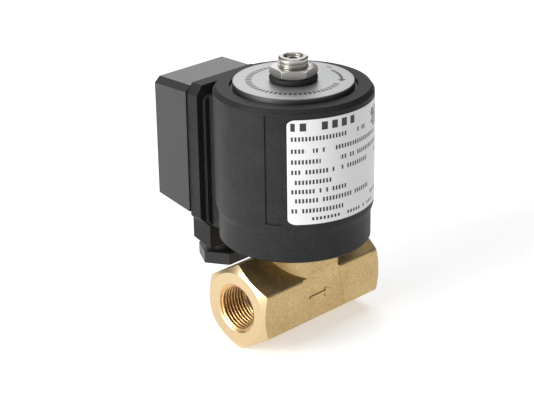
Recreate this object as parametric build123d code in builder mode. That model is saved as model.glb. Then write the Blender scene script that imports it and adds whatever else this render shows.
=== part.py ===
from build123d import *
import os
from math import cos, radians, sin, sqrt, tan

# A direct-acting solenoid valve with a flow regulator, in millimetres.
# X runs along the flow, from the inlet's mouth at x = 0 to the outlet's mouth.
# Z is up along the stem, the axis that the plunger, the tube and the coil share.
# The terminal box stands on the +Y side of the coil.

os.makedirs("parts", exist_ok=True)

# ---- driving dimensions -------------------------------------------------

body_length = 57.0
across_flats = 27.0
stem_x = body_length / 2

# ports for a G 3/8 pipe thread, ISO 228, bored to the thread's minor radius
port_major_r = 8.331
port_thread_depth = 0.856
port_minor_r = port_major_r - port_thread_depth
port_mouth_r = 8.75
port_bore_depth = 13.6

boss_r = 15.0
boss_top = 17.8
pocket_depth = 1.7
strainer_seat_r = 7.8
passage_r = 3.3
passage_offset = 3.4
chamber_r = 8.6
chamber_floor = 1.2
seat_face = 2.6

tube_outer_r = 7.0
tube_inner_r = 6.28
tube_flange_top = 18.8
tube_top = 71.5
foot_thread_r = 9.6

plunger_r = 6.2
plunger_foot = 3.2
plunger_shoulder = 28.0
plunger_top = 38.0
plunger_neck_r = 3.9
plunger_lift = 3.0
core_face = plunger_top + plunger_lift
stub_r = 4.95
stub_top = 81.9

rod_r = 2.0
regulator_r = 3.0

coil_bottom = tube_flange_top
coil_top = 72.2
coil_lower_r = 25.8
coil_upper_r = 26.75
coil_rim_r = 25.6
yoke_outer_r = 23.4
plate_bore_r = 7.06
disc_r = 20.25
disc_top = 73.7
disc_seat = 71.2

base_front = 29.6
base_back = 34.5
base_half_width = 16.45
base_top = 68.3
cover_back = 50.5
cover_half_width = 17.1
cover_top = 67.4
cover_wall = 1.6

gland_y = 36.15
gland_flats = 16.0
gland_bottom = -1.1
gland_head = 4.4
gland_thread_r = 5.5
cable_r = 3.8
wire_way_r = cable_r + 0.3

running_gap = 0.06

# ---- places -------------------------------------------------------------

stem = Plane(origin=(stem_x, 0, 0), x_dir=(1, 0, 0), z_dir=(0, 0, 1))
stem_section = Plane(origin=(stem_x, 0, 0), x_dir=(1, 0, 0), z_dir=(0, -1, 0))
stem_axis = Axis((stem_x, 0, 0), (0, 0, 1))
flow_section = Plane.XZ
flow_axis = Axis((0, 0, 0), (1, 0, 0))
across = Plane.YZ
gland_section = Plane(origin=(stem_x, gland_y, 0), x_dir=(1, 0, 0), z_dir=(0, -1, 0))
gland_axis = Axis((stem_x, gland_y, 0), (0, 0, 1))
gland = Plane(origin=(stem_x, gland_y, 0), x_dir=(1, 0, 0), z_dir=(0, 0, 1))


def upright(y):
    """The plane that stands across Y at y, seen from the back: its x runs along -X, its y up."""
    return Plane(origin=(stem_x, y, 0), x_dir=(-1, 0, 0), z_dir=(0, 1, 0))


def outline(*points):
    """Fills the closed outline through the points, in the sketch being drawn."""
    with BuildLine() as border:
        Polyline(*points, close=True)
    make_face(border.edges())


def ring(inner, outer, low, high):
    """Fills the section of a ring about the sketch's y axis."""
    outline((inner, low), (outer, low), (outer, high), (inner, high))


def teeth(start, turns, pitch, root, crest, run):
    """Points of a thread's section along one axis: turns grooves from crest to root and back.

    run is the length of one flank, and what is left of the pitch is shared by root and crest."""
    land = (pitch - 2 * run) / 2
    points = []
    for turn in range(turns):
        foot = start + turn * pitch
        points += [
            (foot, crest),
            (foot + run, root),
            (foot + run + land, root),
            (foot + 2 * run + land, crest),
        ]
    return points


def save(part, label):
    """Names the piece and writes it as one STEP file."""
    part.label = label
    export_step(part, f"parts/{label}.step")


# ---- valve body group ---------------------------------------------------

bore_start = 0.75
port_outline = [
    (-1.0, 0.0),
    (-1.0, port_mouth_r),
    (0.0, port_mouth_r),
    (bore_start, port_minor_r),
    (port_bore_depth - pocket_depth, port_minor_r),
    (port_bore_depth - pocket_depth, strainer_seat_r),
    (port_bore_depth, strainer_seat_r),
    (port_bore_depth, 0.0),
]
chamfer_face_r = 12.6
corner_r = across_flats / sqrt(3)
chamfer_run = (corner_r + 1 - chamfer_face_r) * tan(radians(30))
panel_depth = 0.45
arrow_height = 0.4

with BuildPart() as valve_body:
    # hexagonal bar with its corners up and down, and its long edges rounded
    with BuildSketch(across):
        RegularPolygon(radius=corner_r, side_count=6, rotation=30)
        fillet(vertices(), radius=1.3)
    extrude(amount=body_length)
    # round boss, trimmed flush with the front and back flats
    with BuildSketch(stem):
        Circle(boss_r)
        Rectangle(2 * boss_r, across_flats, mode=Mode.INTERSECT)
    extrude(amount=boss_top)
    # turned ends: a 30 degree cone takes the corners off
    with BuildSketch(flow_section):
        outline(
            (0, 0),
            (0, chamfer_face_r),
            (chamfer_run, corner_r + 1),
            (stem_x - boss_r - 0.5, corner_r + 1),
            (stem_x - boss_r - 0.5, boss_top + 6),
            (stem_x + boss_r + 0.5, boss_top + 6),
            (stem_x + boss_r + 0.5, corner_r + 1),
            (body_length - chamfer_run, corner_r + 1),
            (body_length, chamfer_face_r),
            (body_length, 0),
        )
    revolve(axis=flow_axis, mode=Mode.INTERSECT)
    # ports: the same turned outline at each end
    for mouth, way in ((0, 1), (body_length, -1)):
        with BuildSketch(flow_section):
            outline(*[(mouth + way * along, r) for along, r in port_outline])
        revolve(axis=flow_axis, mode=Mode.SUBTRACT)
    # inlet passage above the flow axis, outlet passage below it
    with BuildSketch(across.offset(port_bore_depth - 1)):
        with Locations((0, passage_offset)):
            Circle(passage_r)
    extrude(amount=stem_x - 6 - port_bore_depth + 1, mode=Mode.SUBTRACT)
    with BuildSketch(across.offset(stem_x)):
        with Locations((0, -passage_offset)):
            Circle(passage_r)
    extrude(amount=body_length - port_bore_depth + 1 - stem_x, mode=Mode.SUBTRACT)
    # chamber round the seat, the tapped mouth for the guide tube and its seal groove
    with BuildSketch(stem_section):
        outline(
            (0, seat_face),
            (5.0, seat_face),
            (5.4, seat_face - 0.4),
            (5.4, chamber_floor),
            (chamber_r, chamber_floor),
            (chamber_r, 9.8),
            (foot_thread_r, 9.8),
            (foot_thread_r, boss_top - 1.3),
            (11.2, boss_top - 1.3),
            (11.2, boss_top + 1),
            (0, boss_top + 1),
        )
    revolve(axis=stem_axis, mode=Mode.SUBTRACT)
    with BuildSketch(stem.offset(-passage_offset)):
        Circle(passage_r)
    extrude(amount=seat_face + passage_offset + 1, mode=Mode.SUBTRACT)
    # shallow panel in the front flat, wider at its foot, with sloping ends
    with BuildSketch(Plane.XZ.offset(across_flats / 2 - panel_depth)):
        outline(
            (stem_x - 12.9, -9.5),
            (stem_x - 9.3, 9.5),
            (stem_x + 7.6, 9.5),
            (stem_x + 11.0, -9.5),
        )
    extrude(amount=panel_depth + 1, taper=-45, mode=Mode.SUBTRACT)
    # raised arrow along the flow
    with BuildSketch(Plane.XZ.offset(across_flats / 2 - panel_depth)):
        with Locations((stem_x - 2.2, 0.3)):
            Rectangle(8.2, 0.95)
        with BuildLine():
            Polyline(
                (stem_x + 1.0, 2.0),
                (stem_x + 4.4, 0.3),
                (stem_x + 1.0, -1.4),
                close=True,
            )
        make_face()
    extrude(amount=arrow_height)
save(valve_body.part, "valve_body")

strainer_r = strainer_seat_r - 0.02
with BuildPart() as inlet_strainer:
    with BuildSketch(across.offset(port_bore_depth - 0.8)):
        Circle(strainer_r)
        with HexLocations(0.75, 9, 9):
            Circle(0.45, mode=Mode.SUBTRACT)
    extrude(amount=0.4)
    with BuildSketch(across.offset(port_bore_depth - 1.6)):
        Circle(strainer_r)
        Circle(strainer_r - 0.9, mode=Mode.SUBTRACT)
    extrude(amount=1.2)
save(inlet_strainer.part, "inlet_strainer")

with BuildPart() as boss_o_ring:
    with BuildSketch(stem_section):
        with Locations((10.45, boss_top - 0.65)):
            Circle(0.62)
    revolve(axis=stem_axis)
save(boss_o_ring.part, "boss_o_ring")

with BuildPart() as guide_tube:
    # threaded foot, flange with two spanner flats, and the thin tube above
    with BuildSketch(stem_section):
        outline(
            (tube_inner_r, 10.3),
            (foot_thread_r - 0.5, 10.3),
            (foot_thread_r, 10.8),
            (foot_thread_r, boss_top),
            (12.2, boss_top),
            (12.2, tube_flange_top),
            (tube_outer_r, tube_flange_top),
            (tube_outer_r, tube_top),
            (tube_inner_r, tube_top),
        )
    revolve(axis=stem_axis)
    with BuildSketch(stem.offset(boss_top)):
        with Locations((0, 12.2), (0, -12.2)):
            Rectangle(12, 1.2)
    extrude(amount=tube_flange_top - boss_top, mode=Mode.SUBTRACT)
save(guide_tube.part, "guide_tube")

stub_pitch = 1.0
stub_thread = [
    (radius, height)
    for height, radius in teeth(76.9, 4, stub_pitch, stub_r - 0.55, stub_r, 0.32)
]
shading_inner_r = 2.5
shading_outer_r = 3.7
shading_depth = 2.0
rod_bore_r = rod_r + running_gap
regulator_bore_r = regulator_r + running_gap

with BuildPart() as fixed_core:
    with BuildSketch(stem_section):
        outline(
            (rod_bore_r, core_face),
            (tube_inner_r, core_face),
            (tube_inner_r, tube_top),
            (tube_outer_r, tube_top),
            (tube_outer_r, tube_top + 1.5),
            (stub_r, tube_top + 1.5),
            *stub_thread,
            (stub_r, stub_top - 0.5),
            (stub_r - 0.5, stub_top),
            (regulator_bore_r + 0.35, stub_top),
            (regulator_bore_r, stub_top - 0.35),
            (regulator_bore_r, 66.0),
            (rod_bore_r, 66.0),
        )
    revolve(axis=stem_axis)
    with BuildSketch(stem_section):
        ring(shading_inner_r, shading_outer_r, core_face - 1, core_face + shading_depth)
    revolve(axis=stem_axis, mode=Mode.SUBTRACT)
save(fixed_core.part, "fixed_core")

with BuildPart() as shading_ring:
    with BuildSketch(stem_section):
        ring(
            shading_inner_r,
            shading_outer_r,
            core_face + 0.05,
            core_face + shading_depth,
        )
    revolve(axis=stem_axis)
save(shading_ring.part, "shading_ring")

# ---- plunger group ------------------------------------------------------

disc_rubber_r = 5.3
with BuildPart() as plunger:
    with BuildSketch(stem_section):
        outline(
            (0, seat_face + 3.2),
            (disc_rubber_r, seat_face + 3.2),
            (disc_rubber_r, plunger_foot),
            (plunger_r - 0.3, plunger_foot),
            (plunger_r, plunger_foot + 0.3),
            (plunger_r, plunger_shoulder),
            (plunger_neck_r, plunger_shoulder),
            (plunger_neck_r, plunger_top - 0.4),
            (plunger_neck_r - 0.4, plunger_top),
            (0, plunger_top),
        )
    revolve(axis=stem_axis)
    # two flats down the side let gas past the plunger
    with BuildSketch(stem.offset(plunger_foot)):
        with Locations((0, plunger_r), (0, -plunger_r)):
            Rectangle(8, 1.1)
    extrude(amount=plunger_shoulder - plunger_foot, mode=Mode.SUBTRACT)
save(plunger.part, "plunger")

with BuildPart() as seat_disc:
    with BuildSketch(stem_section):
        ring(0, disc_rubber_r, seat_face, seat_face + 3.2)
    revolve(axis=stem_axis)
save(seat_disc.part, "seat_disc")

spring_wire_r = 0.4
spring_mean_r = 5.1
spring_turns = 7
spring_low = plunger_shoulder + spring_wire_r + 0.05
spring_high = core_face - spring_wire_r - 0.05
with BuildPart() as return_spring:
    with BuildLine(stem.offset(spring_low)):
        Helix(
            pitch=(spring_high - spring_low) / spring_turns,
            height=spring_high - spring_low,
            radius=spring_mean_r,
        )
    with BuildSketch(
        Plane(
            origin=(stem_x + spring_mean_r, 0, spring_low),
            x_dir=(1, 0, 0),
            z_dir=(0, 1, 0),
        )
    ):
        Circle(spring_wire_r)
    sweep(is_frenet=True)
save(return_spring.part, "return_spring")

# ---- flow regulator group -----------------------------------------------

rod_head_top = 72.0
with BuildPart() as stop_rod:
    with BuildSketch(stem_section):
        outline(
            (0, core_face + 0.1),
            (rod_r - 0.4, core_face + 0.1),
            (rod_r, core_face + 0.5),
            (rod_r, rod_head_top - 2.2),
            (2.7, rod_head_top - 2.2),
            (2.7, rod_head_top),
            (0, rod_head_top),
        )
    revolve(axis=stem_axis)
save(stop_rod.part, "stop_rod")

screw_top = stub_top - 0.9
socket_flats = 3.0
o_ring_low = 73.6
o_ring_high = 75.0
with BuildPart() as regulating_screw:
    with BuildSketch(stem_section):
        outline(
            (0, rod_head_top),
            (2.0, rod_head_top),
            (2.5, rod_head_top + 0.5),
            (regulator_r, rod_head_top + 0.5),
            (regulator_r, o_ring_low),
            (2.1, o_ring_low),
            (2.1, o_ring_high),
            (regulator_r, o_ring_high),
            (regulator_r, screw_top - 0.4),
            (regulator_r - 0.4, screw_top),
            (0, screw_top),
        )
    revolve(axis=stem_axis)
    with BuildSketch(stem.offset(screw_top)):
        RegularPolygon(radius=socket_flats / sqrt(3), side_count=6)
    extrude(amount=-3.0, mode=Mode.SUBTRACT)
save(regulating_screw.part, "regulating_screw")

with BuildPart() as screw_o_ring:
    with BuildSketch(stem_section):
        with Locations((2.56, (o_ring_low + o_ring_high) / 2)):
            Circle(0.42)
    revolve(axis=stem_axis)
save(screw_o_ring.part, "screw_o_ring")

# ---- coil group ---------------------------------------------------------

neck_start = 20.0
neck_half_width = 12.2
neck_low = 16.7
neck_high = 64.7
lip_half_width = 14.0
lip_low = 18.7
lip_front = 28.2
boss_half_width = neck_half_width
boss_side_back = 38.2
boss_back = 43.3
boss_low_front = 7.4
boss_low_back = 11.0
spigot_r = 6.5
spigot_low = 5.6
boss_inside_top = 23.6
base_low = 20.2
base_foot = base_low - (base_half_width - boss_half_width)
foot_slope = (boss_low_back - boss_low_front) / (boss_back - base_front)
pocket_r = yoke_outer_r + 0.1
floor_top = coil_bottom + 2.0
gland_bore_r = gland_thread_r + running_gap
seal_shelf = 19.6
pin_x = 4.0
pin_z = 52.0
pin_r = 0.7
earth_z = 44.0
strip_start = -156.3
strip_end = -144.0
strip_low = 32.6
strip_depth = 0.45
screw_z = 60.8
screw_r = 1.95
post_r = 3.4


def on_coil(angle, radius):
    """A point on the stem's plane at an angle from +X and a distance from the stem."""
    return (radius * cos(radians(angle)), radius * sin(radians(angle)))


def boss_plan(gap):
    """Fills the gland boss's plan, gap wider all round: square in front, its corners cut behind."""
    cut = boss_back - boss_side_back
    side = boss_half_width + gap
    outline(
        (-side, base_front - gland_y),
        (side, base_front - gland_y),
        (side, boss_side_back - gland_y + gap / 2),
        (side - cut - gap / 2, boss_back - gland_y + gap),
        (cut + gap / 2 - side, boss_back - gland_y + gap),
        (-side, boss_side_back - gland_y + gap / 2),
    )


with BuildPart() as coil_housing:
    # sleeve: a lower band, a sloping step, the upper band and a bevelled shoulder
    with BuildSketch(stem_section):
        outline(
            (0, coil_bottom),
            (coil_lower_r - 0.6, coil_bottom),
            (coil_lower_r, coil_bottom + 0.6),
            (coil_lower_r, 28.4),
            (coil_upper_r - 0.15, 30.6),
            (coil_upper_r, 31.2),
            (coil_upper_r, coil_top - 1.6),
            (coil_rim_r, coil_top),
            (0, coil_top),
        )
    revolve(axis=stem_axis)
    # neck out to the terminal base, and the lip behind the base
    with BuildSketch(upright(neck_start)):
        with Locations((0, (neck_low + neck_high) / 2)):
            Rectangle(2 * neck_half_width, neck_high - neck_low)
    extrude(amount=lip_front - neck_start)
    with BuildSketch(upright(lip_front)):
        outline(
            (-lip_half_width, lip_low),
            (-neck_half_width, neck_low),
            (neck_half_width, neck_low),
            (lip_half_width, lip_low),
            (lip_half_width, neck_high - 1.5),
            (neck_half_width, neck_high),
            (-neck_half_width, neck_high),
            (-lip_half_width, neck_high - 1.5),
        )
    extrude(amount=base_front - lip_front)
    # terminal base: upper corners cut off, lower corners sloping in to the gland boss
    with BuildSketch(upright(base_front)):
        outline(
            (-base_half_width, base_low),
            (-boss_half_width, base_foot),
            (boss_half_width, base_foot),
            (base_half_width, base_low),
            (base_half_width, base_top - 3.35),
            (base_half_width - 2.6, base_top),
            (2.6 - base_half_width, base_top),
            (-base_half_width, base_top - 3.35),
        )
    extrude(amount=base_back - base_front)
    # gland boss, reaching up into the terminal box
    with BuildSketch(gland.offset(boss_low_front)):
        boss_plan(0)
    extrude(amount=boss_inside_top - boss_low_front)
    # its foot slopes up towards the back
    with BuildSketch(across.offset(stem_x - boss_half_width - 1)):
        outline(
            (base_front - 1, boss_low_front - foot_slope),
            (boss_back + 1, boss_low_back + foot_slope),
            (boss_back + 1, boss_low_front - 2),
            (base_front - 1, boss_low_front - 2),
        )
    extrude(amount=2 * boss_half_width + 2, mode=Mode.SUBTRACT)
    # round spigot below it
    with BuildSketch(gland.offset(spigot_low)):
        Circle(spigot_r)
    extrude(amount=boss_inside_top - spigot_low)
    # post for the cover's screw
    with BuildSketch(upright(base_back)):
        with Locations((0, screw_z)):
            Circle(post_r)
    extrude(amount=6.5)
    with BuildSketch(upright(base_back - 2)):
        with Locations((0, screw_z)):
            Circle(screw_r + running_gap)
    extrude(amount=9, mode=Mode.SUBTRACT)
    # room for the winding, its yoke and plates, and the shallow seat of the disc
    with BuildSketch(stem_section):
        outline(
            (0, coil_bottom - 1),
            (tube_outer_r + 0.6, coil_bottom - 1),
            (tube_outer_r + 0.6, floor_top),
            (pocket_r, floor_top),
            (pocket_r, disc_seat),
            (disc_r + 1.05, disc_seat),
            (disc_r + 1.05, coil_top + 1),
            (0, coil_top + 1),
        )
    revolve(axis=stem_axis, mode=Mode.SUBTRACT)
    # cable way: threaded mouth, seat of the seal and a narrower hole into the box
    with BuildSketch(gland_section):
        outline(
            (0, 0),
            (gland_bore_r, 0),
            (gland_bore_r, seal_shelf),
            (wire_way_r, seal_shelf + 1.2),
            (wire_way_r, boss_inside_top + 1),
            (0, boss_inside_top + 1),
        )
    revolve(axis=gland_axis, mode=Mode.SUBTRACT)
    # holes for the line pins and the earth pin
    with BuildSketch(upright(20)):
        with Locations((pin_x, pin_z), (-pin_x, pin_z), (0, earth_z)):
            Circle(pin_r + 0.02)
    extrude(amount=base_back + 1 - 20, mode=Mode.SUBTRACT)
    # shallow upright strip beside the label
    with BuildSketch(stem.offset(strip_low)):
        outline(
            on_coil(strip_start, coil_upper_r - strip_depth),
            on_coil((strip_start + strip_end) / 2, coil_upper_r - strip_depth),
            on_coil(strip_end, coil_upper_r - strip_depth),
            on_coil(strip_end, coil_upper_r + 1),
            on_coil(strip_start, coil_upper_r + 1),
        )
    extrude(amount=coil_top - 2.2 - strip_low, mode=Mode.SUBTRACT)
save(coil_housing.part, "coil_housing")

plate_thickness = 2.5
bobbin_low = floor_top + plate_thickness
bobbin_high = disc_seat - plate_thickness
bobbin_inner_r = 7.4
bobbin_barrel_r = 8.4
bobbin_flange_r = 21.5
winding_r = 20.7
tape_r = 21.2
flange_thickness = 1.2

with BuildPart() as bottom_plate:
    with BuildSketch(stem_section):
        ring(plate_bore_r, yoke_outer_r, floor_top, bobbin_low)
    revolve(axis=stem_axis)
save(bottom_plate.part, "bottom_plate")

with BuildPart() as top_plate:
    with BuildSketch(stem_section):
        ring(plate_bore_r, yoke_outer_r, bobbin_high, disc_seat)
    revolve(axis=stem_axis)
save(top_plate.part, "top_plate")

with BuildPart() as yoke_sleeve:
    with BuildSketch(stem_section):
        ring(yoke_outer_r - 1.6, yoke_outer_r, bobbin_low, bobbin_high)
    revolve(axis=stem_axis)
    # slot for the line pins
    with BuildSketch(upright(15)):
        with Locations((0, pin_z)):
            Rectangle(2 * pin_x + 4, 5)
    extrude(amount=12, mode=Mode.SUBTRACT)
save(yoke_sleeve.part, "yoke_sleeve")

with BuildPart() as bobbin:
    with BuildSketch(stem_section):
        outline(
            (bobbin_inner_r, bobbin_low),
            (bobbin_flange_r, bobbin_low),
            (bobbin_flange_r, bobbin_low + flange_thickness),
            (bobbin_barrel_r, bobbin_low + flange_thickness),
            (bobbin_barrel_r, bobbin_high - flange_thickness),
            (bobbin_flange_r, bobbin_high - flange_thickness),
            (bobbin_flange_r, bobbin_high),
            (bobbin_inner_r, bobbin_high),
        )
    revolve(axis=stem_axis)
save(bobbin.part, "bobbin")

with BuildPart() as winding:
    with BuildSketch(stem_section):
        ring(
            bobbin_barrel_r,
            winding_r,
            bobbin_low + flange_thickness,
            bobbin_high - flange_thickness,
        )
    revolve(axis=stem_axis)
save(winding.part, "winding")

with BuildPart() as winding_tape:
    with BuildSketch(stem_section):
        ring(
            winding_r,
            tape_r,
            bobbin_low + flange_thickness,
            bobbin_high - flange_thickness,
        )
    revolve(axis=stem_axis)
save(winding_tape.part, "winding_tape")

with BuildPart() as dial_disc:
    with BuildSketch(stem_section):
        outline(
            (plate_bore_r + 0.24, disc_seat),
            (disc_r, disc_seat),
            (disc_r, disc_top - 0.25),
            (disc_r - 0.25, disc_top),
            (plate_bore_r + 0.24, disc_top),
        )
    revolve(axis=stem_axis)
save(dial_disc.part, "dial_disc")

label_start = -140.5
label_end = -33.0
label_low = 33.1
label_high = 69.0
label_gap = 0.03
label_thickness = 0.12
label_corner = 1.8
label_mid = radians((label_start + label_end) / 2)
label_plane = Plane(
    origin=(stem_x, 0, (label_low + label_high) / 2),
    x_dir=(-sin(label_mid), cos(label_mid), 0),
    z_dir=(cos(label_mid), sin(label_mid), 0),
)
half_angle = radians((label_end - label_start) / 2)
label_half = coil_upper_r * sin(half_angle)
with BuildPart() as rating_label:
    # a rounded rectangle seen square on, cut from a thin sleeve round the coil
    with BuildSketch(label_plane):
        RectangleRounded(2 * label_half, label_high - label_low, label_corner)
    extrude(amount=coil_upper_r + 2)
    with BuildSketch(stem_section):
        ring(
            coil_upper_r + label_gap,
            coil_upper_r + label_gap + label_thickness,
            label_low - 1,
            label_high + 1,
        )
    revolve(axis=stem_axis, mode=Mode.INTERSECT)
save(rating_label.part, "rating_label")

ring_r = 8.1
nut_low = 75.7
nut_high = 78.5
nut_flats = 14.0
nut_turn = -44.0
with BuildPart() as cushion_ring:
    with BuildSketch(stem_section):
        ring(stub_r + 0.35, ring_r, disc_top, nut_low)
        fillet(vertices().group_by(Axis.X)[-1], radius=0.9)
    revolve(axis=stem_axis)
save(cushion_ring.part, "cushion_ring")

with BuildPart() as lock_nut:
    with BuildSketch(stem.offset(nut_low)):
        RegularPolygon(radius=nut_flats / sqrt(3), side_count=6, rotation=nut_turn)
        Circle(stub_r + running_gap, mode=Mode.SUBTRACT)
    extrude(amount=nut_high - nut_low)
    # both faces turned to a 30 degree bevel
    with BuildSketch(stem_section):
        outline(
            (0, nut_low),
            (nut_flats / 2 + 0.1, nut_low),
            (nut_flats / 2 + 1.5, nut_low + 0.8),
            (nut_flats / 2 + 1.5, nut_high - 0.8),
            (nut_flats / 2 + 0.1, nut_high),
            (0, nut_high),
        )
    revolve(axis=stem_axis, mode=Mode.INTERSECT)
save(lock_nut.part, "lock_nut")

# ---- terminals ----------------------------------------------------------

block_low = 36.0
block_high = 56.0
block_half_width = 13.5
block_back = 43.0
clamp_xs = (-8.6, 0, 8.6)
clamp_z = 49.0

with BuildPart() as terminal_block:
    with BuildSketch(upright(base_back)):
        with Locations((0, (block_low + block_high) / 2)):
            Rectangle(2 * block_half_width, block_high - block_low)
    extrude(amount=block_back - base_back)
    # one open bay for each clamp, and the pins' holes
    with BuildSketch(upright(block_back - 5)):
        for x in clamp_xs:
            with Locations((-x, clamp_z - 3)):
                Rectangle(6.8, 18)
    extrude(amount=6, mode=Mode.SUBTRACT)
    with BuildSketch(upright(base_back - 1)):
        with Locations((pin_x, pin_z), (-pin_x, pin_z), (0, earth_z)):
            Circle(pin_r + 0.02)
    extrude(amount=8, mode=Mode.SUBTRACT)
save(terminal_block.part, "terminal_block")

pin_end = block_back - 5 + 0.6
with BuildPart() as terminal_pins:
    with BuildSketch(upright(tape_r + 0.2)):
        with Locations((pin_x, pin_z), (-pin_x, pin_z)):
            Circle(pin_r)
    extrude(amount=pin_end - tape_r - 0.2)
save(terminal_pins.part, "terminal_pins")

with BuildPart() as earth_pin:
    with BuildSketch(upright(yoke_outer_r)):
        with Locations((0, earth_z)):
            Circle(pin_r)
    extrude(amount=pin_end - yoke_outer_r)
save(earth_pin.part, "earth_pin")

clamp_front = pin_end + 0.1
with BuildPart() as terminal_clamps:
    # rising cages: a square sleeve round the wire, tapped for the clamp screw
    with BuildSketch(upright(clamp_front)):
        for x in clamp_xs:
            with Locations((-x, clamp_z)):
                Rectangle(5.8, 6.4)
    extrude(amount=3.6)
    with BuildSketch(stem.offset(clamp_z - 4)):
        for x in clamp_xs:
            with Locations((x, clamp_front + 1.7)):
                Rectangle(3.6, 2.0)
    extrude(amount=8, mode=Mode.SUBTRACT)
    with BuildSketch(upright(clamp_front + 2)):
        for x in clamp_xs:
            with Locations((-x, clamp_z)):
                Circle(1.5)
    extrude(amount=2, mode=Mode.SUBTRACT)
save(terminal_clamps.part, "terminal_clamps")

with BuildPart() as terminal_screws:
    with BuildSketch(upright(clamp_front + 1.0)):
        for x in clamp_xs:
            with Locations((-x, clamp_z)):
                Circle(1.45)
    extrude(amount=3.0)
    with BuildSketch(upright(clamp_front + 4.0)):
        for x in clamp_xs:
            with Locations((-x, clamp_z)):
                Circle(2.6)
    extrude(amount=1.6)
    with BuildSketch(upright(clamp_front + 5.6)):
        for x in clamp_xs:
            with Locations((-x, clamp_z)):
                Rectangle(6, 0.7)
    extrude(amount=-0.9, mode=Mode.SUBTRACT)
save(terminal_screws.part, "terminal_screws")

# ---- cable gland --------------------------------------------------------

gland_head_top = gland_bottom + gland_head
shank_top = 11.4
washer_top = shank_top + 0.9
seal_top = seal_shelf

with BuildPart() as gland_screw:
    with BuildSketch(gland.offset(gland_bottom)):
        RegularPolygon(radius=gland_flats / sqrt(3), side_count=6)
    extrude(amount=gland_head)
    with BuildSketch(gland_section):
        outline(
            (0, gland_bottom),
            (gland_flats / 2 + 1.0, gland_bottom),
            (gland_flats / 2 + 1.8, gland_bottom + 0.3),
            (gland_flats / 2 + 1.8, gland_head_top),
            (0, gland_head_top),
        )
    revolve(axis=gland_axis, mode=Mode.INTERSECT)
    # threaded shank up into the boss
    with BuildSketch(gland_section):
        outline(
            (0, gland_head_top),
            (gland_thread_r - 0.5, gland_head_top),
            *[
                (r, z)
                for z, r in teeth(
                    gland_head_top + 0.4,
                    4,
                    1.5,
                    gland_thread_r - 0.6,
                    gland_thread_r,
                    0.4,
                )
            ],
            (gland_thread_r, shank_top - 0.5),
            (gland_thread_r - 0.5, shank_top),
            (0, shank_top),
        )
    revolve(axis=gland_axis)
    with BuildSketch(gland_section):
        outline(
            (0, gland_bottom - 1),
            (cable_r + 0.8, gland_bottom - 1),
            (cable_r + 0.8, gland_bottom),
            (cable_r, gland_bottom + 0.8),
            (cable_r, shank_top + 1),
            (0, shank_top + 1),
        )
    revolve(axis=gland_axis, mode=Mode.SUBTRACT)
save(gland_screw.part, "gland_screw")

with BuildPart() as gland_washer:
    with BuildSketch(gland_section):
        ring(wire_way_r, gland_thread_r - 0.04, shank_top, washer_top)
    revolve(axis=gland_axis)
save(gland_washer.part, "gland_washer")

with BuildPart() as gland_seal:
    with BuildSketch(gland_section):
        outline(
            (3.6, washer_top),
            (gland_thread_r - 0.3, washer_top),
            (gland_thread_r - 0.3, seal_top - 0.05),
            (4.0, seal_top - 0.05),
            (3.4, (washer_top + seal_top) / 2),
        )
    revolve(axis=gland_axis)
save(gland_seal.part, "gland_seal")

# ---- terminal cover group -----------------------------------------------

cover_low_front = 21.6
cover_low_back = 24.7
cover_bevel = 2.35
cover_bevel_drop = 1.9
inner_half_width = cover_half_width - cover_wall
inner_back = cover_back - cover_wall
floor_slope = (cover_low_back - cover_low_front) / (cover_back - base_back)
notch_gap = 0.15


def cover_floor(y):
    """Height of the cover's sloping underside at y."""
    return cover_low_front + floor_slope * (y - base_back)


def cover_end(inset):
    """Fills the cover's end outline, inset all round: a box with its two upper corners cut."""
    side = cover_half_width - inset
    top = cover_top - inset
    cut = cover_bevel - inset * 0.6
    drop = cover_bevel_drop - inset * 0.5
    outline(
        (-side, cover_low_front),
        (side, cover_low_front),
        (side, top - drop),
        (side - cut, top),
        (cut - side, top),
        (-side, top - drop),
    )


# the room inside the cover, open towards the base
with BuildPart() as cover_room:
    with BuildSketch(upright(base_back - 1)):
        cover_end(cover_wall)
    extrude(amount=inner_back - base_back + 1)
    with BuildSketch(across.offset(stem_x - cover_half_width - 1)):
        outline(
            (base_back - 2, cover_floor(base_back - 2) + cover_wall),
            (cover_back, cover_floor(cover_back) + cover_wall),
            (cover_back, cover_low_front - 2),
            (base_back - 2, cover_low_front - 2),
        )
    extrude(amount=2 * cover_half_width + 2, mode=Mode.SUBTRACT)

with BuildPart() as terminal_cover:
    # outside: a box with a sloping underside and its two upper edges bevelled
    with BuildSketch(upright(base_back)):
        cover_end(0)
    extrude(amount=cover_back - base_back)
    with BuildSketch(across.offset(stem_x - cover_half_width - 1)):
        outline(
            (base_back - 1, cover_floor(base_back - 1)),
            (cover_back + 1, cover_floor(cover_back + 1)),
            (cover_back + 1, cover_low_front - 2),
            (base_back - 1, cover_low_front - 2),
        )
    extrude(amount=2 * cover_half_width + 2, mode=Mode.SUBTRACT)
    fillet(edges().group_by(Axis.Y)[-1], radius=0.5)
    add(cover_room.part, mode=Mode.SUBTRACT)
    # notch that clears the gland boss
    with BuildSketch(gland.offset(cover_low_front - 2)):
        boss_plan(notch_gap)
    extrude(amount=8, mode=Mode.SUBTRACT)
    # sunk hole for the captive screw
    with BuildSketch(upright(inner_back - 2.2)):
        with Locations((0, screw_z)):
            Circle(4.8)
    extrude(amount=2.2)
    with BuildSketch(upright(cover_back - 1.9)):
        with Locations((0, screw_z)):
            Circle(3.4)
    extrude(amount=3, mode=Mode.SUBTRACT)
    with BuildSketch(upright(inner_back - 4)):
        with Locations((0, screw_z)):
            Circle(screw_r + running_gap)
    extrude(amount=6, mode=Mode.SUBTRACT)
save(terminal_cover.part, "terminal_cover")

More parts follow.
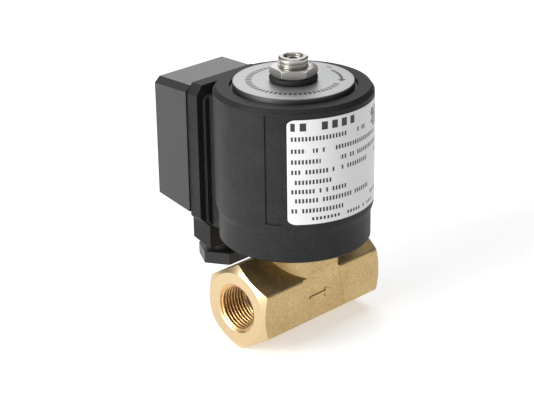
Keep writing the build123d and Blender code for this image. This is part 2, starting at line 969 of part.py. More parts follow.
gasket_half_width = inner_half_width - 0.15
gasket_low = 24.0
gasket_high = cover_top - cover_wall - 0.15
gasket_width = 1.1
with BuildPart() as cover_gasket:
    # flat seal just inside the cover's mouth, open where the gland boss comes up
    with BuildSketch(upright(base_back)):
        with Locations((0, (gasket_low + gasket_high) / 2)):
            RectangleRounded(
                2 * gasket_half_width, gasket_high - gasket_low, 2 * gasket_width
            )
            RectangleRounded(
                2 * (gasket_half_width - gasket_width),
                gasket_high - gasket_low - 2 * gasket_width,
                gasket_width,
                mode=Mode.SUBTRACT,
            )
    extrude(amount=0.9)
save(cover_gasket.part, "cover_gasket")

screw_head_r = 3.2
screw_head = 1.7
head_back = cover_back - 0.15
head_front = head_back - screw_head
with BuildPart() as cover_screw:
    with BuildSketch(upright(head_front)):
        with Locations((0, screw_z)):
            Circle(screw_head_r)
    extrude(amount=screw_head)
    fillet(edges().group_by(Axis.Y)[-1], radius=0.5)
    with BuildSketch(upright(head_back)):
        with Locations((0, screw_z)):
            Rectangle(8, 0.9)
    extrude(amount=-0.9, mode=Mode.SUBTRACT)
    with BuildSketch(upright(base_back)):
        with Locations((0, screw_z)):
            Circle(screw_r)
    extrude(amount=head_front - base_back)
save(cover_screw.part, "cover_screw")
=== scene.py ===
import bmesh
import bpy
import numpy as np
from mathutils import Matrix, Vector


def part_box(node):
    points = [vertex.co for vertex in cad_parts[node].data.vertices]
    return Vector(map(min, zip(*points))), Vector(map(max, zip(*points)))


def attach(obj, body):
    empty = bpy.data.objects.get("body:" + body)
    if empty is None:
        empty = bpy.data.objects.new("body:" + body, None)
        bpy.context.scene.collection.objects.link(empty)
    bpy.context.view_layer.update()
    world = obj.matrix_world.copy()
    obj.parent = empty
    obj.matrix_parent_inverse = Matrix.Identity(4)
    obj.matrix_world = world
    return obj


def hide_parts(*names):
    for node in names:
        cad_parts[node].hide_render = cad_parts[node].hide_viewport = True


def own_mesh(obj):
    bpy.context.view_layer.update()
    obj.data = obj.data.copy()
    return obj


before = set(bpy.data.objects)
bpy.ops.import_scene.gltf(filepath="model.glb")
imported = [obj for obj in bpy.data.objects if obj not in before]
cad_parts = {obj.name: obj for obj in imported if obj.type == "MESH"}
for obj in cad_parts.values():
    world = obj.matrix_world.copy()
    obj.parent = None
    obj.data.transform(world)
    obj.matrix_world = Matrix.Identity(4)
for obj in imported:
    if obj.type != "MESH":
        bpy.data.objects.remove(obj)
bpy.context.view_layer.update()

mm = 0.001
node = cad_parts
print("frame loaded:", len(node), "nodes")

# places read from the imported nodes
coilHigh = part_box("coil_housing")[1]
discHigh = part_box("dial_disc")[1]
coreLow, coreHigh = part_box("fixed_core")
bodyLow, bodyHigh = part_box("valve_body")
stemX = (coreLow.x + coreHigh.x) / 2

# camera and light

camera = {
    "azimuth": -44.41, "elevation": 22.63, "roll": -0.95,  # degrees
    "distance": 0.5563, "lens": 110.85, "sensor": 36.0,
    "target": (stemX - 0.00739, 0.00583, 0.03128),
}


def placeCamera(c):
    # right and up are turned by the roll about the line of sight
    a, e, roll = np.radians([c["azimuth"], c["elevation"], c["roll"]])
    back = np.array([np.sin(a) * np.cos(e), -np.cos(a) * np.cos(e), np.sin(e)])
    level = np.array([np.cos(a), np.sin(a), 0.0])
    upright = np.cross(back, level)
    right = level * np.cos(roll) + upright * np.sin(roll)
    up = upright * np.cos(roll) - level * np.sin(roll)
    lensData = bpy.data.cameras.new("camera")
    lensData.sensor_width = c["sensor"]
    lensData.lens = c["lens"]
    lensData.clip_start = 0.01
    seen = bpy.data.objects.new("camera", lensData)
    bpy.context.scene.collection.objects.link(seen)
    turn = Matrix(np.stack([right, up, back], axis=1).tolist()).to_4x4()
    where = np.array(c["target"]) + back * c["distance"]
    seen.matrix_world = Matrix.Translation(where.tolist()) @ turn
    bpy.context.scene.camera = seen


placeCamera(camera)

aimPoint = (stemX, 0.0, 0.035)
lights = {
    "leftPanel": dict(place=(-0.72, 0.14, 0.30), size=(0.5, 0.5), power=7.5),
    "frontPanel": dict(place=(0.15, -0.75, 0.35), size=(0.6, 0.6), power=0.5),
    "topPanel": dict(place=(0.10, 0.10, 0.75), size=(0.8, 0.8), power=2.2),
    "backPanel": dict(place=(0.45, 0.60, 0.45), size=(0.5, 0.5), power=1.2),
}


def softLight(name, place, size, power):
    # a panel of light at place that faces the aim point
    data = bpy.data.lights.new(name, "AREA")
    data.shape = "RECTANGLE"
    data.size, data.size_y = size
    data.energy = power
    lamp = bpy.data.objects.new(name, data)
    bpy.context.scene.collection.objects.link(lamp)
    lamp.location = place
    away = Vector(place) - Vector(aimPoint)
    lamp.rotation_euler = away.to_track_quat("Z", "Y").to_euler()


for lightName, values in lights.items():
    softLight(lightName, **values)

surroundings = {"colour": (1.0, 1.0, 1.0, 1.0), "strength": 0.18}
world = bpy.data.worlds.new("studio")
bpy.context.scene.world = world
world.use_nodes = True
sky = world.node_tree.nodes["Background"].inputs
sky["Color"].default_value = surroundings["colour"]
sky["Strength"].default_value = surroundings["strength"]
bpy.context.scene.view_settings.view_transform = "Standard"
print("camera and light placed")


# shared shader effects

def putNode(tree, kind, **values):
    made = tree.nodes.new(kind)
    for key, value in values.items():
        setattr(made, key, value)
    return made


def newEffect(name, numbers, outputs):
    # an empty group: numbers maps each input to its value, outputs lists (name, kind)
    group = bpy.data.node_groups.new(name, "ShaderNodeTree")
    group.interface.new_socket("Position", in_out="INPUT", socket_type="NodeSocketVector")
    for key, value in numbers.items():
        made = group.interface.new_socket(key, in_out="INPUT", socket_type="NodeSocketFloat")
        made.default_value = value
    for key, kind in outputs:
        group.interface.new_socket(key, in_out="OUTPUT", socket_type=kind)
    return group, putNode(group, "NodeGroupInput"), putNode(group, "NodeGroupOutput")


def noiseOf(tree, position, scale, detail=4.0, rough=0.55):
    # scale is a number or a socket
    made = putNode(tree, "ShaderNodeTexNoise")
    made.inputs["Detail"].default_value = detail
    made.inputs["Roughness"].default_value = rough
    tree.links.new(position, made.inputs["Vector"])
    if isinstance(scale, (int, float)):
        made.inputs["Scale"].default_value = scale
    else:
        tree.links.new(scale, made.inputs["Scale"])
    return made.outputs["Fac"]


def mathOf(tree, operation, first, second=None, third=None, clamp=False):
    # each of the values is a number or a socket
    made = putNode(tree, "ShaderNodeMath", operation=operation, use_clamp=clamp)
    for place, value in enumerate((first, second, third)):
        if value is None:
            continue
        if isinstance(value, (int, float)):
            made.inputs[place].default_value = value
        else:
            tree.links.new(value, made.inputs[place])
    return made.outputs[0]


def centredNoise(tree, position, scale, detail=4.0):
    return mathOf(tree, "SUBTRACT", noiseOf(tree, position, scale, detail), 0.5)


def mouldedSkin():
    # fine speckle of a moulded surface, with wide soft patches; Tone is about 0.5
    patchScale = 90.0
    group, given, out = newEffect(
        "mouldedSkin",
        {"Grain": 2600.0, "Speckle": 0.5, "Patches": 0.25},
        [("Tone", "NodeSocketFloat"), ("Height", "NodeSocketFloat")],
    )
    fine = centredNoise(group, given.outputs["Position"], given.outputs["Grain"], 3.0)
    wide = centredNoise(group, given.outputs["Position"], patchScale, 3.0)
    speckle = mathOf(group, "MULTIPLY", fine, given.outputs["Speckle"])
    patch = mathOf(group, "MULTIPLY", wide, given.outputs["Patches"])
    both = mathOf(group, "ADD", speckle, patch)
    group.links.new(mathOf(group, "ADD", both, 0.5, clamp=True), out.inputs["Tone"])
    group.links.new(mathOf(group, "ADD", fine, 0.5), out.inputs["Height"])
    return group


def turnedMarks():
    # fine circles that a lathe tool leaves round the local Z axis, worked out from the distance to it
    group, given, out = newEffect(
        "turnedMarks",
        {"Spacing": 9000.0, "Depth": 1.0},
        [("Tone", "NodeSocketFloat"), ("Height", "NodeSocketFloat")],
    )
    parts = putNode(group, "ShaderNodeSeparateXYZ")
    group.links.new(given.outputs["Position"], parts.inputs[0])
    x2 = mathOf(group, "MULTIPLY", parts.outputs["X"], parts.outputs["X"])
    y2 = mathOf(group, "MULTIPLY", parts.outputs["Y"], parts.outputs["Y"])
    away = mathOf(group, "SQRT", mathOf(group, "ADD", x2, y2))
    pair = putNode(group, "ShaderNodeCombineXYZ")
    group.links.new(away, pair.inputs["X"])
    group.links.new(parts.outputs["Z"], pair.inputs["Y"])
    rings = noiseOf(group, pair.outputs["Vector"], given.outputs["Spacing"], 2.0, 0.6)
    centred = mathOf(group, "SUBTRACT", rings, 0.5)
    deep = mathOf(group, "MULTIPLY", centred, given.outputs["Depth"])
    group.links.new(mathOf(group, "ADD", deep, 0.5), out.inputs["Tone"])
    group.links.new(mathOf(group, "ADD", deep, 0.5), out.inputs["Height"])
    return group


def roundStem():
    # places round the stem: Angle in degrees from +X, Away and Height in millimetres
    group, given, out = newEffect(
        "roundStem", {},
        [("Angle", "NodeSocketFloat"), ("Away", "NodeSocketFloat"), ("Height", "NodeSocketFloat")],
    )
    parts = putNode(group, "ShaderNodeSeparateXYZ")
    group.links.new(given.outputs["Position"], parts.inputs[0])
    x = mathOf(group, "SUBTRACT", parts.outputs["X"], stemX)
    x2 = mathOf(group, "MULTIPLY", x, x)
    y2 = mathOf(group, "MULTIPLY", parts.outputs["Y"], parts.outputs["Y"])
    away = mathOf(group, "SQRT", mathOf(group, "ADD", x2, y2))
    angle = mathOf(group, "ARCTAN2", parts.outputs["Y"], x)
    group.links.new(mathOf(group, "DEGREES", angle), out.inputs["Angle"])
    group.links.new(mathOf(group, "DIVIDE", away, mm), out.inputs["Away"])
    group.links.new(mathOf(group, "DIVIDE", parts.outputs["Z"], mm), out.inputs["Height"])
    return group


moulded = mouldedSkin()
turned = turnedMarks()
stemPlaces = roundStem()


class Finish:
    # one Principled material being put together
    def __init__(self, name, metallic=0.0, roughness=0.5, specular=0.5):
        self.material = bpy.data.materials.new(name)
        self.material.use_nodes = True
        self.tree = self.material.node_tree
        self.shader = self.tree.nodes["Principled BSDF"]
        self.shader.inputs["Metallic"].default_value = metallic
        self.shader.inputs["Roughness"].default_value = roughness
        self.shader.inputs["Specular IOR Level"].default_value = specular
        self.place = putNode(self.tree, "ShaderNodeTexCoord").outputs["Object"]

    def effect(self, group, position=None, **numbers):
        made = putNode(self.tree, "ShaderNodeGroup", node_tree=group)
        self.tree.links.new(position or self.place, made.inputs["Position"])
        for key, value in numbers.items():
            made.inputs[key].default_value = value
        return made.outputs

    def moved(self, origin, turn=(0.0, 0.0, 0.0)):
        # the pattern's origin put at a point of the valve, and its axes turned
        made = putNode(self.tree, "ShaderNodeMapping", vector_type="TEXTURE")
        made.inputs["Location"].default_value = origin
        made.inputs["Rotation"].default_value = [np.radians(t) for t in turn]
        self.tree.links.new(self.place, made.inputs["Vector"])
        return made.outputs["Vector"]

    def ramp(self, factor, stops):
        # stops: (position, (r, g, b)) pairs
        made = putNode(self.tree, "ShaderNodeValToRGB")
        bar = made.color_ramp
        while len(bar.elements) < len(stops):
            bar.elements.new(0.5)
        for element, (place, colour) in zip(bar.elements, stops):
            element.position = place
            element.color = (*colour, 1.0)
        self.tree.links.new(factor, made.inputs["Fac"])
        return made.outputs["Color"]

    def colour(self, socket):
        self.tree.links.new(socket, self.shader.inputs["Base Color"])

    def rough(self, factor, low, high):
        made = putNode(self.tree, "ShaderNodeMapRange")
        made.inputs["To Min"].default_value = low
        made.inputs["To Max"].default_value = high
        self.tree.links.new(factor, made.inputs["Value"])
        self.tree.links.new(made.outputs["Result"], self.shader.inputs["Roughness"])

    def bump(self, height, distance, strength=1.0):
        made = putNode(self.tree, "ShaderNodeBump")
        made.inputs["Distance"].default_value = distance
        made.inputs["Strength"].default_value = strength
        self.tree.links.new(height, made.inputs["Height"])
        self.tree.links.new(made.outputs["Normal"], self.shader.inputs["Normal"])


def greyStops(low, high, tint=(1.0, 1.0, 1.0)):
    return [(0.25, tuple(low * t for t in tint)), (0.75, tuple(high * t for t in tint))]


# finishes of the CAD pieces and the new ones

bumpDepth = {"moulded": 0.02, "turned": 0.006, "forged": 0.035, "film": 0.01}  # mm

nylon = {"dark": 0.007, "light": 0.036, "grain": 2600.0, "roughness": (0.40, 0.56), "specular": 0.13}


def nylonFinish(name, values):
    made = Finish(name, specular=values.get("specular", 0.5))
    skin = made.effect(
        moulded, Grain=values["grain"], Speckle=values.get("speckle", 0.8), Patches=0.3)
    made.colour(made.ramp(skin["Tone"], greyStops(values["dark"], values["light"])))
    made.rough(skin["Tone"], *values["roughness"])
    made.bump(skin["Height"], bumpDepth["moulded"] * mm, values.get("bump", 0.5))
    return made.material


glossyCover = {
    "dark": 0.026, "light": 0.042, "grain": 1500.0, "roughness": (0.22, 0.30),
    "bump": 0.05, "specular": 0.4, "speckle": 0.2,
}
glandNylon = {
    "dark": 0.010, "light": 0.026, "grain": 2200.0, "roughness": (0.34, 0.44),
    "bump": 0.3, "specular": 0.35,
}
rubber = {
    "dark": 0.006, "light": 0.020, "grain": 3200.0, "roughness": (0.55, 0.75),
    "bump": 0.4, "specular": 0.3,
}

plate = {"tint": (1.0, 0.965, 0.91), "dark": 0.42, "light": 0.66, "roughness": (0.24, 0.40)}


def metalFinish(name, values, origin, turn=(0.0, 0.0, 0.0)):
    # turned metal: fine circles round an axis through origin
    made = Finish(name, metallic=1.0)
    spot = made.moved(origin, turn)
    marks = made.effect(turned, spot, Spacing=6000.0, Depth=0.8)
    stops = greyStops(values["dark"], values["light"], values["tint"])
    made.colour(made.ramp(marks["Tone"], stops))
    made.rough(marks["Tone"], *values["roughness"])
    made.bump(marks["Height"], bumpDepth["turned"] * mm, values.get("bump", 0.5))
    return made.material


steel = {"tint": (1.0, 0.99, 0.97), "dark": 0.38, "light": 0.62, "roughness": (0.26, 0.42)}
darkSteel = {"tint": (1.0, 1.0, 1.02), "dark": 0.05, "light": 0.11, "roughness": (0.45, 0.6)}
copper = {"tint": (0.96, 0.55, 0.36), "dark": 0.55, "light": 0.85, "roughness": (0.25, 0.4)}
brightBrass = {"tint": (1.0, 0.80, 0.45), "dark": 0.60, "light": 0.85, "roughness": (0.20, 0.34)}

forging = {
    "dark": (0.42, 0.28, 0.12), "mid": (0.55, 0.40, 0.19), "light": (0.68, 0.52, 0.28),
    "machined": (0.70, 0.54, 0.32), "roughness": (0.38, 0.56), "machinedRoughness": 0.32,
    "bored": (0.78, 0.50, 0.22), "boredRoughness": 0.36, "bump": 0.7,
    # brightness of the darkest marks on faces and in bores, the spread of the marks' roughness,
    # and the marks' height as a share of the forged skin's
    "faceShade": 0.86, "boreShade": 0.8, "roughnessSpread": 0.16, "markHeight": 0.25,
    # where the body is cut: radius of the ports' mouths and of their threads, radius at which
    # the end cone starts and its angle, and a thin margin, in mm and degrees
    "mouth": 9.0, "threads": 8.45, "coneStart": 12.6, "coneAngle": 30.0, "margin": 0.02,
}


def forgedBrass(values):
    # blasted skin all over, but turned metal at the end faces and inside the ports
    made = Finish("forgedBrass", metallic=1.0)
    tree = made.tree
    skin = made.effect(moulded, Grain=1500.0, Speckle=1.0, Patches=0.6)
    skinColour = made.ramp(
        skin["Tone"], [(0.2, values["dark"]), (0.5, values["mid"]), (0.8, values["light"])])
    parts = putNode(tree, "ShaderNodeSeparateXYZ")
    tree.links.new(made.place, parts.inputs[0])
    # along: distance from the middle of the body, away: distance from the flow axis
    along = mathOf(tree, "ABSOLUTE", mathOf(tree, "SUBTRACT", parts.outputs["X"], stemX))
    y2 = mathOf(tree, "MULTIPLY", parts.outputs["Y"], parts.outputs["Y"])
    z2 = mathOf(tree, "MULTIPLY", parts.outputs["Z"], parts.outputs["Z"])
    away = mathOf(tree, "SQRT", mathOf(tree, "ADD", y2, z2))
    half = (bodyHigh.x - bodyLow.x) / 2
    margin = values["margin"] * mm
    slope = float(np.tan(np.radians(values["coneAngle"])))
    atFace = mathOf(tree, "GREATER_THAN", along, half - margin)
    inPort = mathOf(tree, "LESS_THAN", away, values["mouth"] * mm)
    # the end cone lies beyond this sloping line
    cone = mathOf(tree, "ADD", along, mathOf(tree, "MULTIPLY", away, slope))
    onCone = mathOf(tree, "GREATER_THAN", cone, half + values["coneStart"] * mm * slope - margin)
    cut = mathOf(tree, "MAXIMUM", atFace, mathOf(tree, "MAXIMUM", inPort, onCone))
    spot = made.moved((stemX, 0.0, 0.0), (0.0, 90.0, 0.0))
    marks = made.effect(turned, spot, Spacing=3500.0, Depth=0.7)
    bright = made.ramp(marks["Tone"], [
        (0.2, tuple(values["faceShade"] * c for c in values["machined"])), (0.8, values["machined"])])
    mixed = putNode(tree, "ShaderNodeMix", data_type="RGBA")
    tree.links.new(cut, mixed.inputs["Factor"])
    tree.links.new(skinColour, mixed.inputs["A"])
    tree.links.new(bright, mixed.inputs["B"])
    # threads and bores are deeper in colour and duller than the faces
    deep = mathOf(tree, "LESS_THAN", away, values["threads"] * mm)
    warm = made.ramp(marks["Tone"], [
        (0.2, tuple(values["boreShade"] * c for c in values["bored"])), (0.8, values["bored"])])
    whole = putNode(tree, "ShaderNodeMix", data_type="RGBA")
    tree.links.new(deep, whole.inputs["Factor"])
    tree.links.new(mixed.outputs["Result"], whole.inputs["A"])
    tree.links.new(warm, whole.inputs["B"])
    made.colour(whole.outputs["Result"])
    low, high = values["roughness"]
    rough = mathOf(tree, "MULTIPLY_ADD", skin["Tone"], high - low, low)
    duller = mathOf(tree, "MULTIPLY", deep, values["boredRoughness"] - values["machinedRoughness"])
    spread = values["roughnessSpread"]
    faceRough = mathOf(
        tree, "MULTIPLY_ADD", marks["Tone"], spread, values["machinedRoughness"] - spread / 2)
    turnedRough = mathOf(tree, "ADD", faceRough, duller)
    blended = putNode(tree, "ShaderNodeMix", data_type="FLOAT")
    tree.links.new(cut, blended.inputs["Factor"])
    tree.links.new(rough, blended.inputs["A"])
    tree.links.new(turnedRough, blended.inputs["B"])
    tree.links.new(blended.outputs["Result"], made.shader.inputs["Roughness"])
    height = putNode(tree, "ShaderNodeMix", data_type="FLOAT")
    tree.links.new(cut, height.inputs["Factor"])
    tree.links.new(skin["Height"], height.inputs["A"])
    shallow = mathOf(tree, "MULTIPLY", marks["Height"], values["markHeight"])
    tree.links.new(shallow, height.inputs["B"])
    made.bump(height.outputs["Result"], bumpDepth["forged"] * mm, values["bump"])
    return made.material


stemTop = (stemX, 0.0, coilHigh.z)
finishes = {
    "valve_body": forgedBrass(forging),
    "coil_housing": nylonFinish("mouldedNylon", nylon),
    "terminal_cover": nylonFinish("coverPlastic", glossyCover),
    "gland_screw": nylonFinish("glandNylon", glandNylon),
    "rubber": nylonFinish("blackRubber", rubber),
    "nickel": metalFinish("nickelPlate", plate, stemTop),
    "steel": metalFinish("turnedSteel", steel, stemTop),
    "dark_steel": metalFinish("darkSteel", darkSteel, stemTop),
    "copper": metalFinish("copper", copper, stemTop),
    "brass": metalFinish("brightBrass", brightBrass, stemTop),
}

natural = {"dark": 0.55, "light": 0.66, "grain": 2000.0, "roughness": (0.4, 0.5), "bump": 0.2}
finishes["natural"] = nylonFinish("naturalNylon", natural)
finishes["tape"] = nylonFinish("polyesterTape", natural)


def isNear(tree, value, middle, half):
    return mathOf(tree, "COMPARE", value, middle, half)


def chance(tree, first, second):
    # a fixed random number for each pair of whole numbers
    pair = putNode(tree, "ShaderNodeCombineXYZ")
    for place, value in enumerate((first, second)):
        if isinstance(value, (int, float)):
            pair.inputs[place].default_value = value
        else:
            tree.links.new(value, pair.inputs[place])
    made = putNode(tree, "ShaderNodeTexWhiteNoise", noise_dimensions="2D")
    tree.links.new(pair.outputs[0], made.inputs["Vector"])
    return made.outputs["Value"]


def either(tree, masks):
    total = masks[0]
    for mask in masks[1:]:
        total = mathOf(tree, "MAXIMUM", total, mask)
    return total


def printed(made, surface, mask, ink):
    # the surface's colour, with the ink's colour where the mask is 1
    mixed = putNode(made.tree, "ShaderNodeMix", data_type="RGBA")
    made.tree.links.new(mask, mixed.inputs["Factor"])
    made.tree.links.new(surface, mixed.inputs["A"])
    mixed.inputs["B"].default_value = (*ink, 1.0)
    made.colour(mixed.outputs["Result"])


labelPrint = {
    "film": (0.70, 0.78), "ink": (0.022, 0.022, 0.024), "roughness": (0.34, 0.46), "bump": 0.1,
    "start": -140.5, "radius": 26.9,  # the label's left edge in degrees, and mm
    # each row: height up the stem, bar height, bar spacing, spans from the left edge, all mm
    "rows": [
        (66.6, 2.7, 3.6, [(1.2, 24.0)]), (62.6, 1.5, 1.15, [(1.2, 21.5), (25.0, 30.5)]),
        (58.5, 1.5, 1.15, [(1.2, 6.0), (8.4, 38.5)]), (54.8, 1.5, 1.15, [(1.2, 11.0), (18.0, 40.0)]),
        (51.3, 1.5, 1.15, [(1.2, 31.0), (38.0, 46.0)]), (47.8, 1.5, 1.15, [(1.2, 15.0)]),
        (44.6, 1.5, 1.15, [(1.2, 20.5)]), (41.4, 1.5, 1.15, [(1.2, 32.0)]),
        (37.9, 1.5, 1.15, [(1.2, 19.5), (34.0, 40.0)]), (35.0, 1.1, 1.3, [(8.0, 36.0)]),
    ],
    "patch": (38.0, 63.4, 3.4, 0.55),  # a square of dots: middle, height, half side, dot
    # a bar's middle and half width in its cell, and the shares of bars and dots left out
    "bar": (0.45, 0.29), "blankBars": 0.13, "blankDots": 0.45,
}


def labelFilm(values):
    # white film with rows of plain upright bars in place of words
    made = Finish("labelFilm")
    tree = made.tree
    skin = made.effect(moulded, Grain=1400.0, Speckle=0.5, Patches=0.4)
    places = made.effect(stemPlaces)
    turn = mathOf(tree, "SUBTRACT", places["Angle"], values["start"])
    along = mathOf(tree, "MULTIPLY", turn, float(np.radians(values["radius"])))
    masks = []
    for number, (height, tall, spacing, spans) in enumerate(values["rows"]):
        cell = mathOf(tree, "DIVIDE", along, spacing)
        bar = isNear(tree, mathOf(tree, "FRACT", cell), *values["bar"])
        drawn = mathOf(
            tree, "GREATER_THAN", chance(tree, mathOf(tree, "FLOOR", cell), number), values["blankBars"])
        inSpan = either(tree, [isNear(tree, along, (a + b) / 2, (b - a) / 2) for a, b in spans])
        row = mathOf(tree, "MULTIPLY", isNear(tree, places["Height"], height, tall / 2), inSpan)
        masks.append(mathOf(tree, "MULTIPLY", row, mathOf(tree, "MULTIPLY", bar, drawn)))
    middle, height, half, dot = values["patch"]
    square = mathOf(
        tree, "MULTIPLY", isNear(tree, along, middle, half), isNear(tree, places["Height"], height, half))
    column = mathOf(tree, "FLOOR", mathOf(tree, "DIVIDE", along, dot))
    line = mathOf(tree, "FLOOR", mathOf(tree, "DIVIDE", places["Height"], dot))
    dots = mathOf(tree, "GREATER_THAN", chance(tree, column, line), values["blankDots"])
    masks.append(mathOf(tree, "MULTIPLY", square, dots))
    low, high = values["film"]
    film = made.ramp(skin["Tone"], greyStops(low, high))
    printed(made, film, either(tree, masks), values["ink"])
    made.rough(skin["Tone"], *values["roughness"])
    made.bump(skin["Height"], bumpDepth["film"] * mm, values["bump"])
    return made.material


discPrint = {
    "tint": (0.98, 0.99, 1.0), "dark": 0.40, "light": 0.56, "roughness": (0.38, 0.50),
    "ink": (0.10, 0.10, 0.105), "bump": 0.15,
    "ticks": (14.9, 1.0, 58),  # radius, half length and number in a full turn
    "tickWidth": 0.3,  # half width of a tick as a share of its cell
    "open": (-18.0, 44.0),  # middle and half width of the stretch without ticks, degrees
    "arc": (15.9, 0.5, -27.0, 19.0),  # radius, half width, middle and half width in degrees
    "head": (15.9, -55.0, 9.0, 0.17),  # radius, tip, length in degrees, half width for each degree
    "bars": [(17.4, 0.35, 1.0, 3.5)],
    "side": 0.35,  # painted shading: share of the top's brightness that the edge is given
    "topBand": 0.05,  # mm under the top face that still count as the top
}


def satinDisc(values):
    # satin metal with a scale of grey ticks, an arc with an arrow head and short bars round it, and
    # painted shading that darkens its edge below the top
    made = Finish("satinDisc", metallic=1.0)
    tree = made.tree
    spot = made.moved((stemX, 0.0, discHigh.z))
    marks = made.effect(turned, spot, Spacing=2500.0, Depth=0.5)
    places = made.effect(stemPlaces)
    radius, half, count = values["ticks"]
    cell = mathOf(tree, "FRACT", mathOf(tree, "MULTIPLY", places["Angle"], count / 360.0))
    inCell = isNear(tree, cell, 0.5, values["tickWidth"])
    tick = mathOf(tree, "MULTIPLY", inCell, isNear(tree, places["Away"], radius, half))
    closed = mathOf(tree, "SUBTRACT", 1.0, isNear(tree, places["Angle"], *values["open"]))
    masks = [mathOf(tree, "MULTIPLY", tick, closed)]
    for radius, half, middle, width in [values["arc"], *values["bars"]]:
        near = isNear(tree, places["Away"], radius, half)
        masks.append(mathOf(tree, "MULTIPLY", near, isNear(tree, places["Angle"], middle, width)))
    # the head widens with the angle from its tip
    radius, tip, length, slope = values["head"]
    fromTip = mathOf(tree, "SUBTRACT", places["Angle"], tip)
    side = mathOf(tree, "ABSOLUTE", mathOf(tree, "SUBTRACT", places["Away"], radius))
    inside = mathOf(tree, "LESS_THAN", side, mathOf(tree, "MULTIPLY", fromTip, slope))
    masks.append(mathOf(tree, "MULTIPLY", inside, isNear(tree, fromTip, length / 2, length / 2)))
    onTop = mathOf(tree, "GREATER_THAN", places["Height"], discHigh.z / mm - values["topBand"])
    mask = mathOf(tree, "MULTIPLY", either(tree, masks), onTop)
    satin = made.ramp(marks["Tone"], greyStops(values["dark"], values["light"], values["tint"]))
    # painted shading: the edge below the top face is darkened to the side's share of the top's brightness
    paintedEdgeShade = mathOf(tree, "MULTIPLY_ADD", onTop, 1.0 - values["side"], values["side"])
    satinWithPaintedShade = putNode(tree, "ShaderNodeVectorMath", operation="SCALE")
    tree.links.new(satin, satinWithPaintedShade.inputs[0])
    tree.links.new(paintedEdgeShade, satinWithPaintedShade.inputs["Scale"])
    printed(made, satinWithPaintedShade.outputs["Vector"], mask, values["ink"])
    made.rough(marks["Tone"], *values["roughness"])
    made.bump(marks["Height"], bumpDepth["turned"] * mm, values["bump"])
    return made.material


finishes["paper"] = labelFilm(labelPrint)
finishes["disc"] = satinDisc(discPrint)
worn = {
    "valve_body": "valve_body", "inlet_strainer": "steel", "boss_o_ring": "rubber",
    "guide_tube": "steel", "fixed_core": "nickel", "shading_ring": "copper",
    "plunger": "steel", "seat_disc": "rubber", "return_spring": "steel",
    "stop_rod": "brass", "regulating_screw": "steel", "screw_o_ring": "rubber",
    "coil_housing": "coil_housing", "bobbin": "natural", "winding": "copper",
    "winding_tape": "tape", "yoke_sleeve": "dark_steel", "bottom_plate": "dark_steel",
    "top_plate": "dark_steel", "dial_disc": "disc", "rating_label": "paper",
    "cushion_ring": "rubber", "lock_nut": "nickel", "terminal_block": "gland_screw",
    "terminal_pins": "brass", "earth_pin": "brass", "terminal_clamps": "brass",
    "terminal_screws": "nickel", "gland_seal": "rubber", "gland_washer": "natural",
    "gland_screw": "gland_screw", "terminal_cover": "terminal_cover",
    "cover_gasket": "rubber", "cover_screw": "nickel",
}
for name, finish in worn.items():
    node[name].data.materials.clear()
    node[name].data.materials.append(finishes[finish])
print("finishes set on", len(worn), "nodes")


# pipe threads cut in the ports

portThread = {
    "pitch": 1.337, "minor": 7.475, "major": 8.331, "clear": 0.06,  # mm
    "land": 0.167, "flanks": 0.667,  # shares of a half pitch: flat at the crest, and flank
    "start": -0.6, "full": 10.7, "end": 11.7,  # mm from the mouth: the grooves fade out after full
    "around": 96, "perPitch": 16, "creaseAngle": 26.0,
}


def grid(name, points):
    # a mesh from points[row, column], closed round the columns and with a fan at each end
    rows, columns = points.shape[:2]
    first = np.arange(columns)
    second = (first + 1) % columns
    base = np.arange(rows - 1)[:, None] * columns
    after = base + columns
    quads = np.stack([base + first, base + second, after + second, after + first], axis=-1)
    poles = np.array([points[0].mean(axis=0), points[-1].mean(axis=0)])
    low, high = rows * columns, rows * columns + 1
    top = (rows - 1) * columns
    fans = [np.stack([np.full(columns, low), second, first], axis=1),
            np.stack([np.full(columns, high), top + first, top + second], axis=1)]
    mesh = bpy.data.meshes.new(name)
    mesh.from_pydata(
        np.concatenate([points.reshape(-1, 3), poles]).tolist(), [],
        quads.reshape(-1, 4).tolist() + fans[0].tolist() + fans[1].tolist())
    made = bpy.data.objects.new(name, mesh)
    bpy.context.scene.collection.objects.link(made)
    return made


def threadCutter(name, values, mouth, way):
    # radius = minor - clear + (depth + clear) * groove, where groove is 0 on a crest and 1 at a root:
    # a triangle wave of x / pitch - angle / turn, cut off flat at both ends, which winds right-handed
    step = values["pitch"] / values["perPitch"]
    along = np.arange(values["start"], values["end"] + step, step)
    turn = np.arange(values["around"]) / values["around"]
    x = mouth / mm + way * along
    phase = (x[:, None] / values["pitch"] - turn[None, :]) % 1.0
    wave = 1.0 - np.abs(2.0 * phase - 1.0)
    groove = np.clip((wave - values["land"]) / values["flanks"], 0.0, 1.0)
    fade = np.clip((values["end"] - along) / (values["end"] - values["full"]), 0.0, 1.0)
    depth = values["major"] - values["minor"] + values["clear"]
    radius = values["minor"] - values["clear"] + depth * groove * fade[:, None]
    angle = 2.0 * np.pi * turn[None, :]
    flat = np.broadcast_to(x[:, None], radius.shape)
    points = np.stack([flat, radius * np.cos(angle), radius * np.sin(angle)], axis=-1) * mm
    if way < 0:
        points = points[::-1]
    return grid(name, points)


def mergedCopy(name, source):
    # the CAD node's triangles, with corners at the same place joined
    old = source.data
    old.calc_loop_triangles()
    places = np.empty(len(old.vertices) * 3)
    old.vertices.foreach_get("co", places)
    corners = np.empty(len(old.loop_triangles) * 3, dtype=np.int32)
    old.loop_triangles.foreach_get("vertices", corners)
    places = places.reshape(-1, 3)
    _, first, same = np.unique(np.round(places, 7), axis=0, return_index=True, return_inverse=True)
    triangles = same.reshape(-1)[corners].reshape(-1, 3)
    ordered = np.sort(triangles, axis=1)
    whole = np.all(np.diff(ordered, axis=1) > 0, axis=1)
    mesh = bpy.data.meshes.new(name)
    mesh.from_pydata(places[first].tolist(), [], triangles[whole].tolist())
    made = bpy.data.objects.new(name, mesh)
    bpy.context.scene.collection.objects.link(made)
    return made


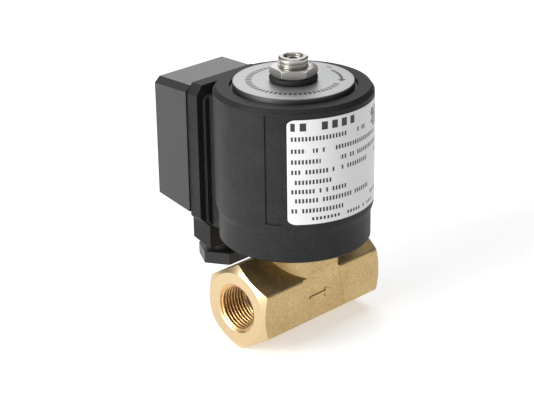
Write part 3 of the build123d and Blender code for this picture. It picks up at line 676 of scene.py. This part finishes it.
def cutBy(target, cutters):
    # takes the cutters away from the target for good
    for cutter in cutters:
        bite = target.modifiers.new("bite", "BOOLEAN")
        bite.operation = "DIFFERENCE"
        bite.solver = "EXACT"
        bite.object = cutter
    bpy.context.view_layer.update()
    seen = target.evaluated_get(bpy.context.evaluated_depsgraph_get())
    cut = bpy.data.meshes.new_from_object(seen)
    target.modifiers.clear()
    target.data = cut
    for cutter in cutters:
        bpy.data.objects.remove(cutter)


def threadedBody(values):
    body = mergedCopy("threaded_body", node["valve_body"])
    cutters = [
        threadCutter("inletCutter", values, bodyLow.x, 1),
        threadCutter("outletCutter", values, bodyHigh.x, -1),
    ]
    cutBy(body, cutters)
    body.data.shade_smooth()
    body.data.set_sharp_from_angle(angle=float(np.radians(values["creaseAngle"])))
    body.data.materials.clear()
    body.data.materials.append(finishes["valve_body"])
    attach(body, "valve")
    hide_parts("valve_body")
    print("ports threaded:", len(body.data.polygons), "faces")


threadedBody(portThread)


# small rounded edges on the box-like pieces

bevel = {"segments": 3, "angle": 32.0, "flatWithin": 0.01}  # degrees, and radians for flat
softEdges = {
    # node: the body it rides on, edge width in mm, slot and finish
    "terminal_cover": ("cover_unit", 0.45, "cover_plastic", "terminal_cover"),
    "gland_screw": ("gland_unit", 0.25, "nylon", "gland_screw"),
    "lock_nut": ("nut_unit", 0.10, "nickel", "nickel"),
    "coil_housing": ("coil_unit", 0.30, "nylon", "coil_housing"),
}


def softened(name, body, width, finish):
    piece = mergedCopy(name + "_soft", node[name])
    flat = bmesh.new()
    flat.from_mesh(piece.data)
    bmesh.ops.dissolve_limit(flat, angle_limit=bevel["flatWithin"], verts=flat.verts, edges=flat.edges)
    flat.to_mesh(piece.data)
    flat.free()
    piece.data.shade_smooth()
    edge = piece.modifiers.new("edge", "BEVEL")
    edge.width = width * mm
    edge.segments = bevel["segments"]
    edge.limit_method = "ANGLE"
    edge.angle_limit = float(np.radians(bevel["angle"]))
    edge.harden_normals = True
    piece.data.materials.append(finishes[finish])
    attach(piece, body)
    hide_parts(name)


for name, (body, width, slotName, finish) in softEdges.items():
    softened(name, body, width, finish)
print("edges softened on", len(softEdges), "pieces")


# copies with smooth shading of the pieces that squash along the stem's direction, left at their rest
# height

elasticCrease = 40.0  # degrees
squashed = {
    # node: its body, the joint, the end that stays with the body, slot and finish
    "return_spring": ("plunger_unit", "plunger_lift", "low", "stainless", "steel"),
    "gland_seal": ("coil_unit", "gland_washer_travel", "high", "rubber", "rubber"),
}


def squashedPiece(name, body, joint, end, slotName, finish):
    # a copy of the node with smooth shading, on its body in place of the node; its height is left as it
    # is
    piece = mergedCopy(name + "_elastic", node[name])
    piece.data.shade_smooth()
    piece.data.set_sharp_from_angle(angle=float(np.radians(elasticCrease)))
    piece.data.materials.append(finishes[finish])
    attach(piece, body)
    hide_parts(name)
    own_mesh(piece)


for name, values in squashed.items():
    squashedPiece(name, *values)
print("elastic pieces:", len(squashed))


# floor

floorValues = {"size": 3.0, "dark": 0.86, "light": 0.90, "glow": 0.45}


def layFloor(values):
    half = values["size"] / 2
    corners = [(-half, -half), (half, -half), (half, half), (-half, half)]
    mesh = bpy.data.meshes.new("floor")
    mesh.from_pydata([(x, y, bodyLow.z) for x, y in corners], [], [(0, 1, 2, 3)])
    floor = bpy.data.objects.new("floor", mesh)
    bpy.context.scene.collection.objects.link(floor)
    made = Finish("floorPaper", roughness=0.9)
    made.shader.inputs["Emission Color"].default_value = (1.0, 1.0, 1.0, 1.0)
    made.shader.inputs["Emission Strength"].default_value = values["glow"]
    tone = noiseOf(made.tree, made.place, 4.0, 2.0)
    made.colour(made.ramp(tone, greyStops(values["dark"], values["light"])))
    mesh.materials.append(made.material)


layFloor(floorValues)
